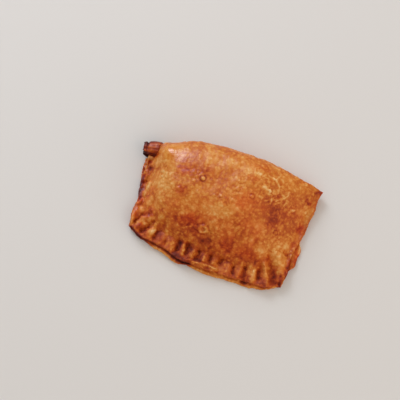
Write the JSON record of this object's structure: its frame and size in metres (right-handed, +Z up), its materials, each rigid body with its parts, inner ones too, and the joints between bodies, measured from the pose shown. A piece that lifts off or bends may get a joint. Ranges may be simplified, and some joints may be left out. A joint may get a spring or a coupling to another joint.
{
  "type": "chicken pie",
  "caption": "Folded hand pie with a plump crown, a smooth round back fold, fork-pressed edges and one rolled-up corner.",
  "frame": {"origin": "on the surface the pie rests on, under the middle of its bounding box", "axes": "+X along the fold, away from the rolled corner, +Y from the fork-pressed front towards the fold, +Z up"},
  "size_m": [0.1206, 0.0818, 0.0287],
  "materials": {
    "golden_crust": "egg-washed, blistered golden brown"
  },
  "bodies": {
    "root": {"pie": "golden_crust"}
  },
  "joints": []
}
